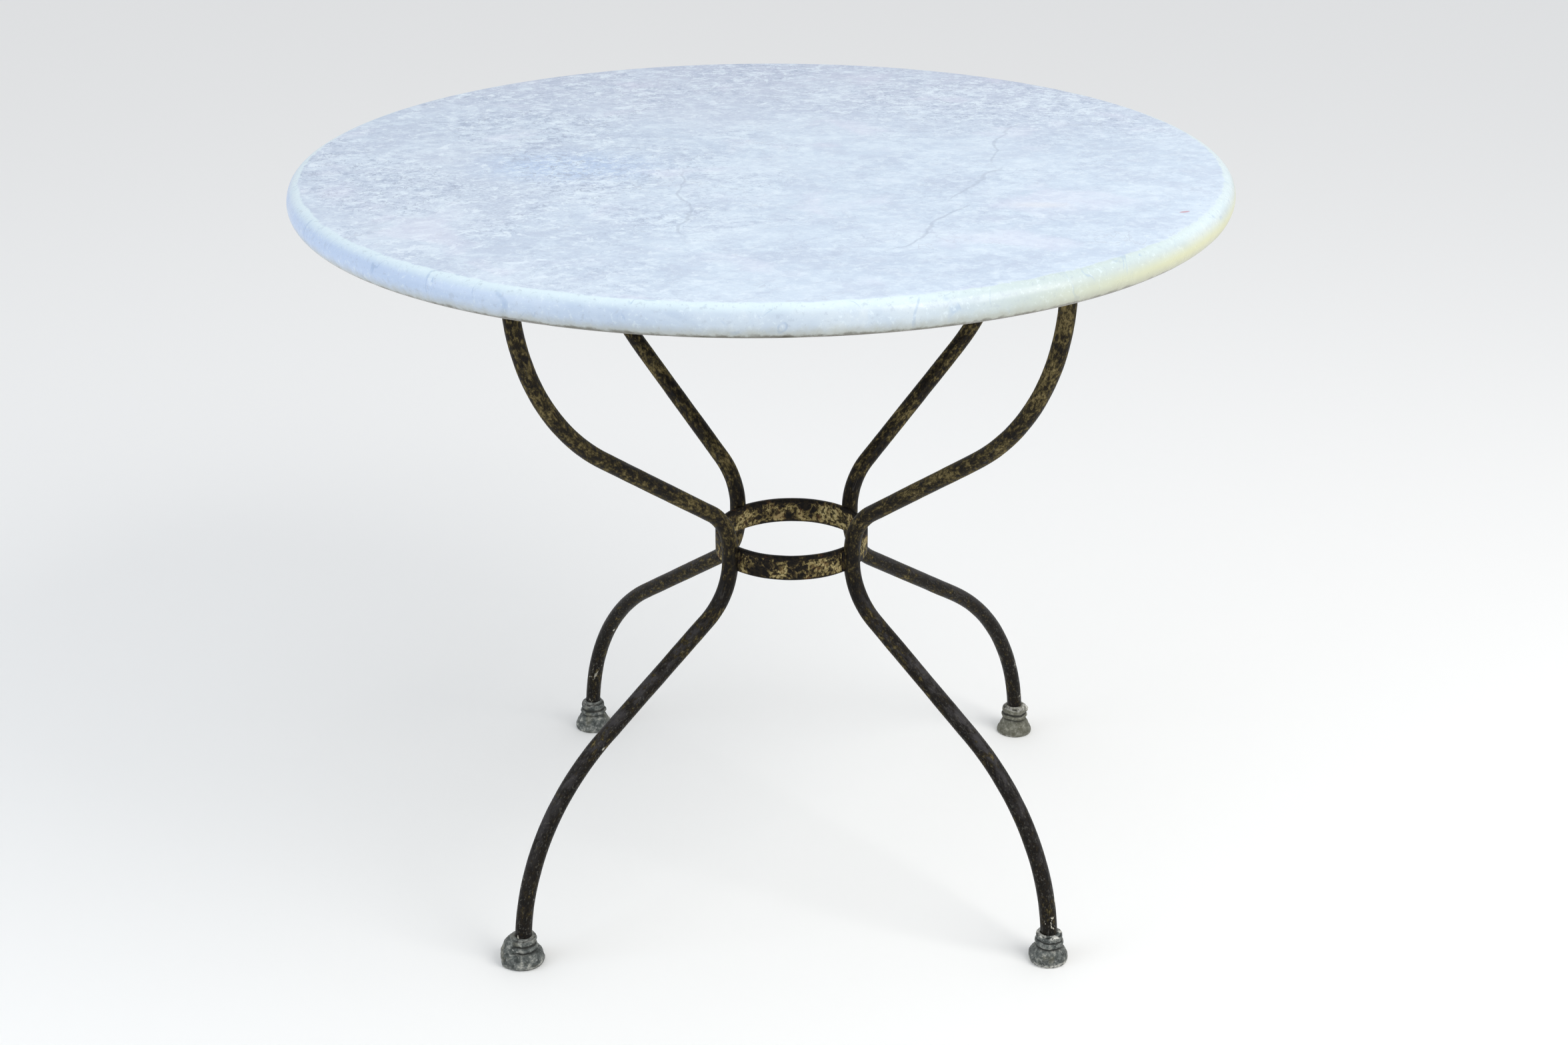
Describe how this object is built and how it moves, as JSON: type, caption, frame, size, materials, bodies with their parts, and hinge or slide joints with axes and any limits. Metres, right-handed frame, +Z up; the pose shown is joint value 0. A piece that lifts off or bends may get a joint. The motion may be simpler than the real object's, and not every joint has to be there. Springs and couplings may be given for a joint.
{
  "type": "bistro table",
  "caption": "Round marble slab with a bullnose edge, laid on bent iron bars that pinch in to a welded waist hoop and stand on cast bell feet.",
  "frame": {"origin": "on the floor, under the centre of the round slab", "axes": "+Z up, -Y towards the front, +X to the right seen from the front"},
  "size_m": [0.9, 0.8996, 0.745],
  "materials": {
    "marble": "weathered honed white marble with grey flecks",
    "bar_iron": "old peeling paint over forged iron",
    "hoop_iron": "old peeling paint over forged iron",
    "weld_iron": "old peeling paint over forged iron",
    "foot_metal": "dull grey casting with white bloom",
    "pad_rubber": "matt black rubber"
  },
  "bodies": {
    "base": {"waist_hoop": "hoop_iron", "top_hoop": "hoop_iron", "waist_welds": "weld_iron", "top_welds": "weld_iron", "leg_front_left": "bar_iron", "leg_front_right": "bar_iron", "leg_back_left": "bar_iron", "leg_back_right": "bar_iron", "foot_front_left": "foot_metal", "foot_front_right": "foot_metal", "foot_back_left": "foot_metal", "foot_back_right": "foot_metal", "pad_front_left": "pad_rubber", "pad_front_right": "pad_rubber", "pad_back_left": "pad_rubber", "pad_back_right": "pad_rubber"},
    "top": {"marble_top": "marble"}
  },
  "joints": [
    {"name": "top_lift", "type": "slide", "parent": "base", "child": "top", "axis": [0, 0, 1], "range_m": [0, 0.1]}
  ]
}
